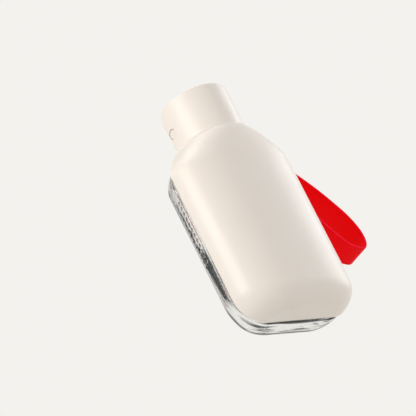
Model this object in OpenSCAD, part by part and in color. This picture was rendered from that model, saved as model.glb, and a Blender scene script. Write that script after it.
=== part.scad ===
// Dog travel water bottle with a hinged drinking bowl.
// Upright on its base: +Z runs up the neck, the bowl shell faces -Y and the clear back faces +Y.
// The origin lies on the flat underside of the bottle, straight below the neck.

/* [Overall] */
// height of the hinge line above the base
hinge_z = 165; // [140:1:220]
// half of the width of the bowl shell
shell_half_width = 50.5; // [46:0.5:60]
// depth of the bowl shell in front of the neck axis
shell_depth = 34.5; // [33:0.5:50]
// depth of the clear bottle behind the neck axis
back_depth = 18.5; // [18.5:0.5:28]

/* [Bowl shell] */
// wall of the bowl shell
shell_wall = 2; // [1.5:0.1:3]
// gap beside the cap inside the neck channel
channel_gap = 4; // [3.4:0.1:8]
// room in front of the pulled knob inside the neck channel
channel_room = 3.2; // [0:0.1:6]
// clearance between the pulled knob and the shell as it swings over
swing_gap = 0.7; // [0.3:0.1:3]
// reach of the neck channel above the hinge
channel_reach = 20.8; // [20.2:0.2:22.4]
// height of the rim behind the hinge line along the channel
channel_rim = 5; // [4.8:0.1:8]
// distance of the rim in front of the neck axis along the bowl
bowl_rim = 2.9; // [2:0.1:6]
// radius of the lobes at the end of the channel
lobe_radius = 8; // [4:0.5:9]
// depth below the hinge where the shoulder starts
shoulder_top = 14.5; // [12:0.5:16]
// depth below the hinge where the bowl has its full width
shoulder_bottom = 40; // [36:1:70]
// fullness of the shoulder curve
shoulder_power = 1.4; // [1.2:0.1:3]
// radius of the lower corners seen from the front
bowl_corner = 21; // [16:1:32]
// radius of the lower front edge seen from the side
bowl_toe = 14.5; // [8:0.5:24]
// squareness of the bowl seen from above
bowl_power = 2.5; // [2:0.1:4]
// squareness of the channel seen from above
channel_power = 2.1; // [2:0.1:3]
// gap between the table and the bowl shell
shell_lift = 0.8; // [0.2:0.1:2]

/* [Bottle] */
// wall of the clear bottle
bottle_wall = 1.6; // [1.2:0.1:2.5]
// gap between the nested front of the bottle and the bowl shell
nest_gap = 0.8; // [0.5:0.1:2]
// gap between the rim of the bowl shell and the step of the bottle
rim_gap = 0.6; // [0.3:0.1:1.5]
// how far the visible side of the bottle stays inside the width of the bowl shell
side_inset = 0.4; // [0:0.1:2]
// radius of the lower corners of the clear back
back_corner = 25; // [16:1:30]
// radius of the upright back edges
back_edge = 19; // [6:0.5:20]
// radius of the lower back edge
back_toe = 10; // [3:0.5:14]
// how far the shoulder of the bottle stays below that of the bowl shell
shoulder_inset = 5.5; // [4:0.5:12]
// radius of the neck
neck_radius = 17.6; // [16:0.1:17.7]
// wall of the neck
neck_wall = 1.8; // [1.4:0.1:2.4]
// height of the neck lip above the hinge
neck_lip = 1; // [0:0.1:2]
// number of grip dots in a row
dot_count = 12; // [4:1:16]
// spacing of the grip dots in a row
dot_pitch = 4.5; // [3.5:0.1:6]
// radius of a grip dot
dot_radius = 1.35; // [0.8:0.05:1.8]
// height of a grip dot
dot_height = 0.45; // [0.2:0.05:0.8]

/* [Thread] */
// pitch of the neck thread
thread_pitch = 3.6; // [3.2:0.1:5]
// turns of the neck thread
thread_turns = 1.6; // [1:0.1:2.2]
// height of the thread ridges
thread_height = 0.95; // [0.6:0.05:1.1]
// width of a thread ridge at its crest
thread_crest = 0.7; // [0.4:0.05:1]

/* [Cap and valve] */
// wall of the cap skirt
cap_wall = 1.75; // [1.4:0.05:2.4]
// radial gap between the neck thread and the cap
thread_gap = 0.2; // [0.1:0.05:0.5]
// depth of the cap skirt below the hinge
cap_skirt = 14.8; // [12:0.2:18]
// height of the cap face above the hinge
cap_face = 4.7; // [4:0.1:6]
// thickness of the cap top
cap_top = 2.5; // [2:0.1:3]
// radius of the spout
spout_radius = 9.5; // [9:0.1:11]
// height of the spout above the hinge
spout_reach = 15.4; // [14:0.1:15.8]
// radius of the valve knob
knob_radius = 13; // [11:0.1:13.4]
// thickness of the knob disc
knob_thickness = 4; // [3.4:0.1:4.4]
// chamfer of the knob disc
knob_chamfer = 1; // [0.4:0.1:1.5]
// lift of the knob between closed and open
knob_travel = 2.6; // [2:0.1:3.6]
// radius of the knob hub inside the spout
hub_radius = 6.5; // [6:0.1:7]
// radius of the fixed plug that closes the knob
plug_radius = 3.2; // [2.4:0.1:3.8]
// radial clearance of sliding and turning fits
running_gap = 0.05; // [0.02:0.01:0.1]

/* [Hinge pins] */
// radius of the pin shank
pin_radius = 2.5; // [2:0.1:3]
// radius of the pin head
pin_head_radius = 3.6; // [3.2:0.1:3.7]
// thickness of the pin head
pin_head = 1.1; // [0.8:0.1:1.5]
// depth of the pin head under the face of the channel
pin_sink = 0.6; // [0:0.1:0.9]
// visible gap around the pin head
pin_head_gap = 0.25; // [0.15:0.05:0.5]

/* [Carry strap] */
// width of the strap
strap_width = 20; // [14:1:24]
// thickness of the strap
strap_thickness = 1.8; // [1.4:0.1:2]
// gap between the swinging lobes and the strap rings
strap_gap = 0.9; // [0.4:0.1:3]
// width of the strap rings around the neck
strap_ring_width = 2.5; // [2:0.1:4]
// gap between the strap and the rim of the bowl shell
strap_rim_gap = 0.5; // [0.3:0.1:4]

/* [Hidden] */
$fa = 4;
$fs = 0.5;
curve_steps = 28;
soft_gap = 0.3;

cap_bore = neck_radius + thread_height + thread_gap;
cap_radius = cap_bore + cap_wall;
knob_under = spout_reach + 0.2;
knob_top = knob_under + knob_thickness;
bead_top = spout_reach - 2 - knob_travel - 0.1;
seal_section = 0.775;

channel_half_width = cap_radius + channel_gap + shell_wall;
boss_end = channel_half_width - shell_wall - 1.9;
boss_radius = channel_rim - 0.25;
// corner of the pulled knob: distance from the neck axis, height above the hinge
knob_corner = [knob_radius - knob_chamfer, knob_top + knob_travel];
// the channel passes over this corner, front wall and end wall alike
channel_depth = shell_wall + (knob_corner[1] + swing_gap + channel_room)
    / pow(1 - pow(knob_corner[0] / (channel_half_width - shell_wall), channel_power), 1 / channel_power);
dam_depth = max(
    neck_radius + 0.4,
    sqrt(pow(norm(knob_corner) + swing_gap, 2) - pow(channel_reach - shell_wall, 2))
);
channel_end_z = hinge_z + channel_reach;
shell_floor_z = shell_lift + shell_wall;

back_half_width = shell_half_width - side_inset;
step_y = rim_gap - bowl_rim;
nest_half_width = shell_half_width - shell_wall - nest_gap;
nest_depth = shell_depth - shell_wall - nest_gap;
nest_bottom = shell_floor_z + 2 * nest_gap;

strap_top = channel_reach + strap_gap;
ring_bore = neck_radius + 0.3 + soft_gap;
strap_ring_radius = ring_bore + strap_ring_width;
shoulder_depth = strap_top + 2 * strap_thickness + 0.3;
shoulder_z = hinge_z - shoulder_depth;

// which node to draw

// Curves shared by the bowl shell and the bottle

// signed power that turns a circle into a squarer curve
function bend(v, power) = sign(v) * pow(abs(v), 2 / power);

// eases from 0 to 1
function ease(t) = let(c = max(0, min(1, t))) c * c * (3 - 2 * c);

// loss of reach at height h inside a rounding of radius r
function rounding(h, r) = h >= r ? 0 : r - sqrt(max(0, r * r - (r - h) * (r - h)));

// share of the full bowl width at height z
function shoulder_share(z) =
    let(
        below = hinge_z - z,
        t = max(0, min(1, (shoulder_bottom - below) / (shoulder_bottom - shoulder_top)))
    )
    pow(max(0, 1 - pow(t, shoulder_power)), 1 / shoulder_power);

// half width of the bowl shell at height z
function shell_width(z) =
    channel_half_width
    + (shell_half_width - channel_half_width) * shoulder_share(z)
    - rounding(z - shell_lift, bowl_corner);

// depth of the bowl shell at height z
function shell_front(z) =
    channel_depth
    + (shell_depth - channel_depth) * shoulder_share(z)
    - rounding(z - shell_lift, bowl_toe);

// squareness of the section at height z
function shell_power(z) =
    channel_power + (bowl_power - channel_power) * shoulder_share(z);

// position of the rim at height z
function rim_y(z) =
    let(
        along = channel_rim - (channel_rim + bowl_rim) * ease((hinge_z - z - 7) / 17),
        into_lobe = z - (channel_end_z - lobe_radius)
    )
    into_lobe <= 0
        ? along
        : along - lobe_radius + sqrt(max(0, lobe_radius * lobe_radius - into_lobe * into_lobe));

// reach sideways of a squared curve at depth y
function reach_at(half, front, power, y) =
    y >= 0 ? half : half * pow(1 - pow(min(1, -y / front), power), 1 / power);

// open section from the right rim round the front to the left rim
function tray_curve(half, front, power, rim) =
    let(
        start_y = min(0, rim - 1.5),
        start = asin(pow(-start_y / front, power / 2)),
        edge = reach_at(half, front, power, rim)
    )
    concat(
        [[edge, rim]],
        [for (i = [0:curve_steps])
            let(a = start + (180 - 2 * start) * i / curve_steps)
            [half * bend(cos(a), power), -front * bend(sin(a), power)]],
        [[-edge, rim]]
    );

// points of a flat curve lifted to height z
function lift(curve, z) = [for (p = curve) [p[0], p[1], z]];

// points of a list in the other order
function reversed(list) = [for (i = [len(list) - 1:-1:0]) list[i]];

// joins equal closed rings into one solid, with faces as given for both ends
module ring_solid(rings, end_faces) {
    count = len(rings[0]);
    polyhedron(
        points = [for (ring = rings) each ring],
        faces = concat(
            [for (j = [0:len(rings) - 2], i = [0:count - 1])
                let(k = (i + 1) % count, a = j * count, b = a + count)
                each [[a + i, a + k, b + i], [a + k, b + k, b + i]]],
            end_faces
        ),
        convexity = 8
    );
}

// Bowl shell

// outer curve at height z
function shell_outer(z) = tray_curve(shell_width(z), shell_front(z), shell_power(z), rim_y(z));

// inner curve at height z, kept a wall above the floor
function shell_inner(z) =
    tray_curve(
        shell_width(z) - shell_wall + rounding(z - shell_lift, bowl_corner)
            - rounding(z - shell_floor_z, bowl_corner - shell_wall),
        shell_front(z) - shell_wall + rounding(z - shell_lift, bowl_toe)
            - rounding(z - shell_floor_z, bowl_toe - shell_wall),
        shell_power(z), rim_y(z)
    );

// inner curve drawn together onto the rim line, which fills the section
function shell_filled(z) =
    let(
        outer = shell_outer(z),
        share = 1 - shell_wall / outer[0][0]
    )
    [for (i = [0:len(outer) - 1])
        [outer[0][0] * share * cos(180 * i / (len(outer) - 1)), rim_y(z)]];

// inner curve with everything in front of the end wall filled
function shell_dammed(z) = [for (p = shell_inner(z)) [p[0], max(p[1], -dam_depth)]];

// one ring of the shell: the outer curve, then the inner one back
function shell_ring(z, inner) = lift(concat(shell_outer(z), reversed(inner)), z);

module bowl_shell_form() {
    corner_top = shell_floor_z + bowl_corner - shell_wall;
    shoulder_height = shoulder_bottom - shoulder_top;
    straight = hinge_z - shoulder_bottom - corner_top;
    lobe_start = channel_end_z - lobe_radius;
    lobe_end = asin(1 - shell_wall / lobe_radius);
    dam_z = channel_end_z - shell_wall;
    open_z = concat(
        [for (a = [12:13:90]) shell_floor_z + (bowl_corner - shell_wall) * (1 - cos(a))],
        [for (s = [0.4, 0.8]) corner_top + straight * s],
        [for (a = [0:10:80]) hinge_z - shoulder_bottom + shoulder_height * sin(a)],
        [for (h = [0.15, -0.15, -2.5]) hinge_z - shoulder_top - h],
        [for (h = [9.5, 7, 0]) hinge_z - h],
        [for (s = [0, 0.37, 0.7, 0.95]) lobe_start + lobe_radius * sin(lobe_end * s)]
    );
    rings = concat(
        [for (z = [shell_lift, shell_lift + shell_wall / 2, shell_floor_z])
            shell_ring(z, shell_filled(z))],
        [shell_ring(shell_floor_z + 0.05, shell_inner(shell_floor_z + 0.05))],
        [for (z = open_z) shell_ring(z, shell_inner(z))],
        [shell_ring(dam_z - 0.05, shell_inner(dam_z - 0.05))],
        [for (z = [dam_z, channel_end_z - 1.1, channel_end_z - 0.4, channel_end_z - 0.1, channel_end_z])
            shell_ring(z, shell_dammed(z))]
    );
    count = len(rings[0]);
    last = (len(rings) - 1) * count;
    half = count / 2 - 1;
    ring_solid(rings, concat(
        [for (i = [0:half - 1])
            each [[i, count - 1 - i, i + 1], [i + 1, count - 1 - i, count - 2 - i]]],
        [for (i = [0:half - 1])
            each [[last + i, last + i + 1, last + count - 1 - i],
                [last + i + 1, last + count - 2 - i, last + count - 1 - i]]]
    ));
}

// a cylinder along X on the hinge line
module hinge_cylinder(radius, from, to) {
    translate([from, 0, hinge_z])
        rotate([0, 90, 0])
            cylinder(r = radius, h = to - from);
}

module bowl_shell() {
    color("#EFE6DA")
        difference() {
            union() {
                bowl_shell_form();
                for (side = [-1, 1])
                    hinge_cylinder(
                        boss_radius,
                        side > 0 ? boss_end : -channel_half_width + 0.5,
                        side > 0 ? channel_half_width - 0.5 : -boss_end
                    );
            }
            for (side = [-1, 1]) {
                hinge_cylinder(
                    pin_radius + running_gap,
                    side > 0 ? boss_end - 1 : -channel_half_width - 1,
                    side > 0 ? channel_half_width + 1 : -boss_end + 1
                );
                hinge_cylinder(
                    pin_head_radius + pin_head_gap,
                    side > 0 ? channel_half_width - pin_sink - pin_head : -channel_half_width - 2,
                    side > 0 ? channel_half_width + 2 : -channel_half_width + pin_sink + pin_head
                );
            }
        }
}

// Bottle

// share of the full bottle width at height z
function bottle_share(z) = shoulder_share(z + shoulder_inset);

// loss of width at the shoulder of the bottle at height z
function shoulder_loss(z) =
    (shell_half_width - channel_half_width) * (1 - bottle_share(z))
    + rounding(shoulder_z - 0.6 - z, 3);

// half width of the clear back at height z
function back_width(z) = back_half_width - rounding(z, back_corner) - shoulder_loss(z);

// depth behind the neck at height z
function back_reach(z) =
    back_depth
    - rounding(z, back_toe)
    - rounding(shoulder_z - 0.6 - z, 5) * (back_depth - neck_radius - 0.4) / 5;

// half width of the nested front at height z
function nest_width(z) =
    min(
        nest_half_width - rounding(z - nest_bottom, bowl_corner) - shoulder_loss(z),
        back_width(z) - 0.5
    );

// depth of the nested front at height z
function nest_front(z) =
    nest_depth
    - rounding(z - nest_bottom, bowl_toe + 2)
    - (shell_depth - channel_depth) * (1 - bottle_share(z))
    - 6 * rounding(shoulder_z - 0.6 - z, 16) / 16;

// squareness of the nested front at height z
function nest_power(z) =
    channel_power + (bowl_power - channel_power) * bottle_share(z);

// section of the bottle: back, right step, nested front, left step
function bottle_curve(wide, back, narrow, front, step, edge, power) =
    let(
        r = min(edge, back - step - 1),
        arc = [0:18:90]
    )
    concat(
        [for (a = arc) [wide - r + r * cos(a), back - r + r * sin(a)]],
        [for (a = arc) [-wide + r - r * sin(a), back - r + r * cos(a)]],
        [[-wide, step]],
        [for (i = [0:24])
            let(a = 180 * i / 24)
            [-narrow * bend(cos(a), power), step - (front + step) * bend(sin(a), power)]],
        [[wide, step]]
    );

// outer section at height z; under the nested front only the back is left
function bottle_outer(z) =
    bottle_curve(
        back_width(z), back_reach(z),
        nest_width(z), z < nest_bottom ? -step_y : nest_front(z),
        step_y, back_edge, nest_power(z)
    );

// inner section at height z, taken from the outer one a wall away
function bottle_inner(z) =
    let(
        up = z > hinge_z / 2 ? 1.2 : -1.2,
        inset = 1.2,
        floor_z = nest_bottom + bottle_wall
    )
    bottle_curve(
        back_width(z + up) - inset, back_reach(z + up) - bottle_wall,
        nest_width(z + up) - inset,
        z < floor_z ? -step_y - bottle_wall : nest_front(z + up) - inset,
        step_y + bottle_wall, back_edge - 1.5, nest_power(z)
    );

// the same points moved out to a circle about the neck axis
function on_circle(curve, radius) =
    [for (p = curve) let(a = atan2(p[1], p[0])) [radius * cos(a), radius * sin(a)]];

// part of the way from one curve to another
function between(from, to, share) =
    [for (i = [0:len(from) - 1]) from[i] * (1 - share) + to[i] * share];

// helical ridge on a cylinder, raised outward or inward
module thread_ridge(radius, height, from_z) {
    step = 12;
    count = floor(360 * thread_turns / step);
    sunk = height > 0 ? -0.4 : 0.4;
    half_root = thread_crest / 2 + abs(height) * 0.45;
    rings = [for (i = [0:count])
        let(
            a = i * step,
            taper = max(0.15, min(1, i / 4, (count - i) / 4)),
            z = from_z + thread_pitch * a / 360,
            crest = radius + height * taper,
            direction = [cos(a), sin(a)],
            shape = [
                [radius + sunk, -half_root], [crest, -thread_crest / 2],
                [crest, thread_crest / 2], [radius + sunk, half_root]
            ]
        )
        [for (p = height > 0 ? shape : reversed(shape))
            [p[0] * direction[0], p[0] * direction[1], z + p[1]]]];
    last = count * 4;
    ring_solid(rings, [[3, 2, 1, 0], [last, last + 1, last + 2, last + 3]]);
}

module bottle_form() {
    top = shoulder_z - 0.6;
    bore = neck_radius - neck_wall - 0.8;
    inner_top = top - bottle_wall;
    foot = nest_bottom + bowl_corner + 3;
    wall_foot = hinge_z - shoulder_bottom - shoulder_inset;
    wall_z = concat(
        [for (a = [0:11:44]) wall_foot + (top - wall_foot) * sin(a)],
        [for (s = [0.85, 0.94, 0.985]) wall_foot + (top - wall_foot) * s]
    );
    straight_z = [for (s = [0.35, 0.7]) foot + (wall_foot - foot) * s];
    inner_z = concat(
        [for (a = [20:14:90]) nest_bottom + bottle_wall + (foot - nest_bottom - 1) * (1 - cos(a))],
        straight_z,
        [for (z = wall_z) z - bottle_wall]
    );
    outer_z = concat(
        reversed(wall_z),
        reversed(straight_z),
        [for (a = [90:-11:2]) nest_bottom + (foot - nest_bottom) * (1 - cos(a))]
    );
    rings = concat(
        [for (z = [1.8, 2.6, 4, nest_bottom + bottle_wall - 0.05]) lift(bottle_inner(z), z)],
        [for (z = inner_z) lift(bottle_inner(z), z)],
        [lift(bottle_inner(inner_top), inner_top)],
        [for (s = [0.5, 1])
            lift(between(bottle_inner(inner_top), on_circle(bottle_inner(inner_top), bore), s),
                inner_top + 0.3 * s)],
        [lift(on_circle(bottle_inner(inner_top), bore), shoulder_z + 1)],
        [lift(on_circle(bottle_outer(top), neck_radius - 0.6), shoulder_z + 1)],
        [for (s = [1, 0.5])
            lift(between(bottle_outer(top), on_circle(bottle_outer(top), neck_radius - 0.6), s),
                top + 0.5 * s)],
        [lift(bottle_outer(top), top)],
        [for (z = outer_z) lift(bottle_outer(z), z)],
        [for (s = [0.99, 0.7, 0.42, 0.2, 0.07, 0]) lift(bottle_outer(nest_bottom * s), nest_bottom * s)]
    );
    count = len(rings[0]);
    last = (len(rings) - 1) * count;
    ring_solid(rings, [
        [for (i = [0:count - 1]) (count - i) % count],
        [for (i = [0:count - 1]) last + i]
    ]);
}

// small raised dots that give the fingers grip on the clear sides
module grip_dots() {
    centre = [back_half_width - back_edge, back_depth - back_edge];
    for (side = [-1, 1], row = [0:1], i = [0:dot_count - 1])
        translate([side * centre[0], centre[1], hinge_z - 58 - dot_pitch * (i + row / 2)])
            rotate([0, 0, side > 0 ? 7 + 13 * row : 173 - 13 * row])
                translate([back_edge - 0.6, 0, 0])
                    rotate([0, 90, 0])
                        cylinder(r = dot_radius, h = 0.6 + dot_height);
}

module bottle_body() {
    color("#DCE6E8")
        difference() {
            union() {
                bottle_form();
                translate([0, 0, hinge_z])
                    rotate_extrude()
                        polygon([
                            [neck_radius - neck_wall, -shoulder_depth - 0.2],
                            [neck_radius + 0.3, -shoulder_depth - 0.2],
                            [neck_radius + 0.3, -strap_top + 0.4],
                            [neck_radius + 1.1, -strap_top + 0.7],
                            [neck_radius + 1.1, -strap_top + 1.3],
                            [neck_radius, -strap_top + 2.2],
                            [neck_radius, neck_lip - 0.4],
                            [neck_radius - 0.4, neck_lip],
                            [neck_radius - neck_wall, neck_lip]
                        ]);
                thread_ridge(neck_radius, thread_height, hinge_z - 9);
                grip_dots();
            }
            translate([0, 0, shoulder_z - 4])
                cylinder(r = neck_radius - neck_wall, h = 6);
        }
}

// Cap, gasket and valve

module screw_cap() {
    inside = cap_face - cap_top;
    color("#EFE6DA")
        difference() {
            union() {
                translate([0, 0, hinge_z])
                    rotate_extrude()
                        polygon([
                            [cap_bore, -cap_skirt], [cap_radius - 0.5, -cap_skirt],
                            [cap_radius, -cap_skirt + 0.5], [cap_radius, cap_face - 1],
                            [cap_radius - 0.3, cap_face - 0.3], [cap_radius - 1, cap_face],
                            [spout_radius + 2, cap_face], [spout_radius + 0.9, cap_face + 0.3],
                            [spout_radius + 0.3, cap_face + 0.9], [spout_radius, cap_face + 2],
                            [spout_radius, spout_reach - 0.5], [spout_radius - 0.5, spout_reach],
                            [hub_radius + running_gap, spout_reach],
                            [hub_radius + running_gap, spout_reach - 2],
                            [hub_radius + 0.5, spout_reach - 2], [hub_radius + 0.5, inside],
                            [cap_bore, inside]
                        ]);
                translate([0, 0, hinge_z + inside])
                    cylinder(r = hub_radius + 0.9, h = 2);
                translate([0, 0, hinge_z + inside])
                    cylinder(r = 1.8, h = knob_top - 2.2 - inside);
                translate([0, 0, hinge_z + knob_top - 2.5])
                    cylinder(r1 = 1.8, r2 = plug_radius, h = 0.7);
                translate([0, 0, hinge_z + knob_top - 1.8])
                    cylinder(r = plug_radius, h = 1.7);
                thread_ridge(cap_bore, -thread_height, hinge_z - 9 - thread_pitch / 2);
                difference() {
                    hinge_cylinder(pin_head_radius, -boss_end + 0.2, boss_end - 0.2);
                    translate([0, 0, hinge_z - 10])
                        cylinder(r = cap_bore + 0.6, h = 20);
                }
            }
            for (a = [45:90:315])
                rotate([0, 0, a])
                    translate([4.2, 0, hinge_z + inside - 1])
                        cylinder(r = 1.6, h = 4);
            for (side = [-1, 1])
                hinge_cylinder(
                    pin_radius,
                    side > 0 ? cap_bore + 0.9 : -boss_end - 1,
                    side > 0 ? boss_end + 1 : -cap_bore - 0.9
                );
        }
}

module cap_gasket() {
    color("#E9E9E4")
        translate([0, 0, hinge_z + neck_lip])
            difference() {
                cylinder(r = cap_bore - 0.25, h = cap_face - cap_top - neck_lip);
                translate([0, 0, -1])
                    cylinder(r = neck_radius - neck_wall - 0.4, h = 5);
            }
}

module valve_knob() {
    hub_bottom = bead_top - 4.1;
    color("#8C857B")
        translate([0, 0, hinge_z])
            rotate_extrude()
                polygon([
                    [4.6, hub_bottom], [hub_radius - 0.3, hub_bottom],
                    [hub_radius - 0.3, bead_top - 3.05], [hub_radius - 1.1, bead_top - 3.05],
                    [hub_radius - 1.1, bead_top - 1.35], [hub_radius - 0.3, bead_top - 1.35],
                    [hub_radius - 0.3, bead_top - 1], [hub_radius + 0.4, bead_top - 0.6],
                    [hub_radius + 0.4, bead_top], [hub_radius, bead_top],
                    [hub_radius, knob_under], [knob_radius - 0.7, knob_under],
                    [knob_radius, knob_under + 0.7], [knob_radius, knob_top - knob_chamfer],
                    [knob_radius - knob_chamfer, knob_top],
                    [plug_radius + running_gap + 0.5, knob_top],
                    [plug_radius + running_gap, knob_top - 0.5],
                    [plug_radius + running_gap, knob_top - 1.7], [4.6, knob_top - 2.9]
                ]);
}

module knob_o_ring() {
    color("#2B2B2B")
        translate([0, 0, hinge_z + bead_top - 2.2])
            rotate_extrude()
                translate([hub_radius - 1.1 + seal_section, 0])
                    circle(r = seal_section);
}

// Hinge pins

module pivot_pin(side) {
    outer = channel_half_width - pin_sink;
    start = cap_bore + 1;
    color("#EFE6DA")
        translate([0, 0, hinge_z])
            rotate([0, side * 90, 0])
                rotate_extrude()
                    polygon([
                        [0, start], [pin_radius - 0.3, start], [pin_radius, start + 0.3],
                        [pin_radius, outer - pin_head],
                        [pin_head_radius, outer - pin_head],
                        [pin_head_radius, outer - 0.35], [pin_head_radius - 0.35, outer],
                        [0, outer]
                    ]);
}

module pivot_pin_left() {
    pivot_pin(-1);
}

module pivot_pin_right() {
    pivot_pin(1);
}

// Carry strap

// middle line of the strap in the upright plane it hangs in, past the side of the shell:
// distance from the axis, depth below the hinge
upper = strap_top + strap_thickness / 2;
lower = upper + strap_thickness + 0.1;
shell_side = shell_half_width;
strap_middle = strap_width / 2 + rim_y(hinge_z - strap_top) + strap_rim_gap;
strap_line = [
    [4, upper], [30, upper], [shell_side - 10.5, upper + 0.1], [shell_side - 4.5, upper + 0.7],
    [shell_side + 1.5, upper + 4.4], [shell_side + 6, upper + 9.4], [shell_side + 14.5, upper + 18.9],
    [shell_side + 21, upper + 26.2], [shell_side + 27.1, upper + 33.7], [shell_side + 34.9, upper + 44.8],
    [shell_side + 42.1, upper + 56.8], [shell_side + 46.3, upper + 69.1], [shell_side + 46, upper + 79.2],
    [shell_side + 41.5, upper + 84.2], [shell_side + 33.6, upper + 82.2], [shell_side + 27.9, upper + 77.3],
    [shell_side + 22, upper + 69.4], [shell_side + 14.8, upper + 57.7], [shell_side + 9.8, upper + 46.5],
    [shell_side + 7, upper + 34.5], [shell_side + 5.6, upper + 22.8], [shell_side + 3.6, upper + 13],
    [shell_side - 0.5, upper + 6], [shell_side - 5.5, lower + 0.7], [shell_side - 10.5, lower + 0.2],
    [30, lower], [4, lower]
];

// point t of the way along a smooth curve from b to c, led by a and d
function glide(a, b, c, d, t) =
    0.5 * (2 * b + (c - a) * t + (2 * a - 5 * b + 4 * c - d) * t * t
        + (3 * b - a - 3 * c + d) * t * t * t);

// smooth line through all points
function smooth_line(points, steps) =
    let(last = len(points) - 1)
    concat(
        [for (i = [0:last - 1], s = [0:steps - 1])
            glide(points[max(0, i - 1)], points[i], points[i + 1],
                points[min(last, i + 2)], s / steps)],
        [points[last]]
    );

// points beside a line at a distance
function beside(line, distance) =
    [for (i = [0:len(line) - 1])
        let(
            d = line[min(len(line) - 1, i + 1)] - line[max(0, i - 1)],
            n = [-d[1], d[0]] / norm(d)
        )
        line[i] + n * distance];

module carry_strap() {
    line = smooth_line(strap_line, 3);
    outline = concat(
        beside(line, strap_thickness / 2),
        reversed(beside(line, -strap_thickness / 2))
    );
    color("#E0000F")
        difference() {
            union() {
                translate([0, strap_middle + strap_width / 2, hinge_z])
                    rotate([90, 0, 0])
                        linear_extrude(height = strap_width)
                            polygon([for (p = outline) [p[0], -p[1]]]);
                for (i = [0, 1])
                    translate([0, 0, hinge_z - strap_top - strap_thickness - i * (strap_thickness + 0.1)])
                        cylinder(r = strap_ring_radius, h = strap_thickness);
            }
            translate([0, 0, hinge_z - strap_top - 10])
                cylinder(r = ring_bore, h = 15);
        }
}

bottle_body();
screw_cap();
cap_gasket();
valve_knob();
knob_o_ring();
bowl_shell();
pivot_pin_left();
pivot_pin_right();
carry_strap();
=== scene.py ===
"""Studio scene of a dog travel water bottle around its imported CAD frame.

The bowl shell, the clear bottle and the carry strap are built here as fine meshes by the same
rules as their CAD nodes, and stand in their places. The cap, gasket, valve knob, O-ring and hinge
pins are the CAD nodes themselves, dressed in their finishes. Lengths are millimetres in the
classes and metres in Blender.
"""

import logging
import math
from abc import ABC, abstractmethod
from dataclasses import dataclass, field
from enum import Enum
from itertools import product
from typing import Any, Callable, Sequence

import bmesh
import bpy
import numpy as np
from mathutils import Matrix, Vector


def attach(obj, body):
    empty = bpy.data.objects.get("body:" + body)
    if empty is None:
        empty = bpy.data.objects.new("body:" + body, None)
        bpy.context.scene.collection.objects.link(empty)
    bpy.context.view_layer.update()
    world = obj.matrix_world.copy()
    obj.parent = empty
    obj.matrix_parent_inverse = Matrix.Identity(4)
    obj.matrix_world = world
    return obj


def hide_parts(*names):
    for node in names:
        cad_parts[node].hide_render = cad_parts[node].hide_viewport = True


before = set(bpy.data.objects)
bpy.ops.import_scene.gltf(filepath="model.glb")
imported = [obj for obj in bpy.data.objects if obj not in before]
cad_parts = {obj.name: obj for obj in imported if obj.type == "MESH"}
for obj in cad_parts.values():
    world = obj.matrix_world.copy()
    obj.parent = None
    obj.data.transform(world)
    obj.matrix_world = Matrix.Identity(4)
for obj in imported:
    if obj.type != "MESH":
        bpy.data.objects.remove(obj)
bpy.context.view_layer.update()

LOG = logging.getLogger("water_bottle")
MM = 0.001
# Points nearer to each other than this, in metres, are one.
WELD = 2e-6
# Most of a noise lies in this range.
NOISE_RANGE = {"From Min": 0.3, "From Max": 0.7}

Points = np.ndarray
Rings = list[np.ndarray]
Tree = bpy.types.NodeTree
Source = bpy.types.Node | bpy.types.NodeSocket
Inside = Callable[[Points, float], Points]


# ---- curve rules


def pairs(x: Points | float, y: Points | float) -> Points:
    """Flat points from their coordinates, either of which may be one number for all."""
    return np.column_stack(np.broadcast_arrays(x, y))


def circle(turns: Points) -> Points:
    """Points of the unit circle at angles in radians."""
    return pairs(np.cos(turns), np.sin(turns))


def angles(start: float, stop: float, step: float) -> Points:
    """Angles in radians from evenly stepped degrees."""
    return np.radians(np.arange(start, stop, step))


def bend(value: Points, power: float) -> Points:
    """Signed power that turns a circle into a squarer curve."""
    return np.sign(value) * np.abs(value) ** (2 / power)


def within(value: float) -> float:
    """The value, held between 0 and 1."""
    return min(1.0, max(0.0, value))


def ease(share: float) -> float:
    """Eases from 0 to 1."""
    held = within(share)
    return held * held * (3 - 2 * held)


def rounding(height: float, radius: float) -> float:
    """Loss of reach at a height inside a rounding.

    Args:
        height: Distance above the start of the rounding.
        radius: Radius of the rounding.

    Returns:
        The loss, from the radius at its start to 0 at its end.
    """
    if height >= radius:
        return 0.0
    return radius - math.sqrt(max(0.0, radius**2 - (radius - max(0.0, height)) ** 2))


def even_points(line: Points, count: int) -> Points:
    """Points at even distances along a flat line.

    Args:
        line: Points of the line, one per row.
        count: Number of points to return.

    Returns:
        The new points, ends included.
    """
    steps = np.linalg.norm(np.diff(line, axis=0), axis=1)
    along = np.concatenate([[0.0], np.cumsum(steps)])
    wanted = np.linspace(0.0, along[-1], count)
    return np.column_stack([np.interp(wanted, along, places) for places in line.T])


def at_height(flat: Points, height: float) -> Points:
    """A flat curve lifted to a height."""
    return np.column_stack([flat, np.full(len(flat), height)])


def lids(rings: Rings) -> list[list[int]]:
    """Faces that close the first and the last ring, numbered over all points."""
    count = len(rings[0])
    return [[start + i for i in range(count)] for start in (0, (len(rings) - 1) * count)]


def smooth_line(points: Points, steps: int) -> Points:
    """A smooth line through all points.

    Args:
        points: The points to pass, one per row.
        steps: Number of steps between two points.

    Returns:
        The points of the line.
    """
    held = np.vstack([points[:1], points, points[-1:]])
    line = []
    for a, b, c, d in zip(held, held[1:], held[2:], held[3:]):
        for t in np.arange(steps) / steps:
            line.append(0.5 * (
                2 * b + (c - a) * t + (2 * a - 5 * b + 4 * c - d) * t**2
                + (3 * b - a - 3 * c + d) * t**3
            ))
    return np.array([*line, points[-1]])


# ---- mesh making


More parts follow.
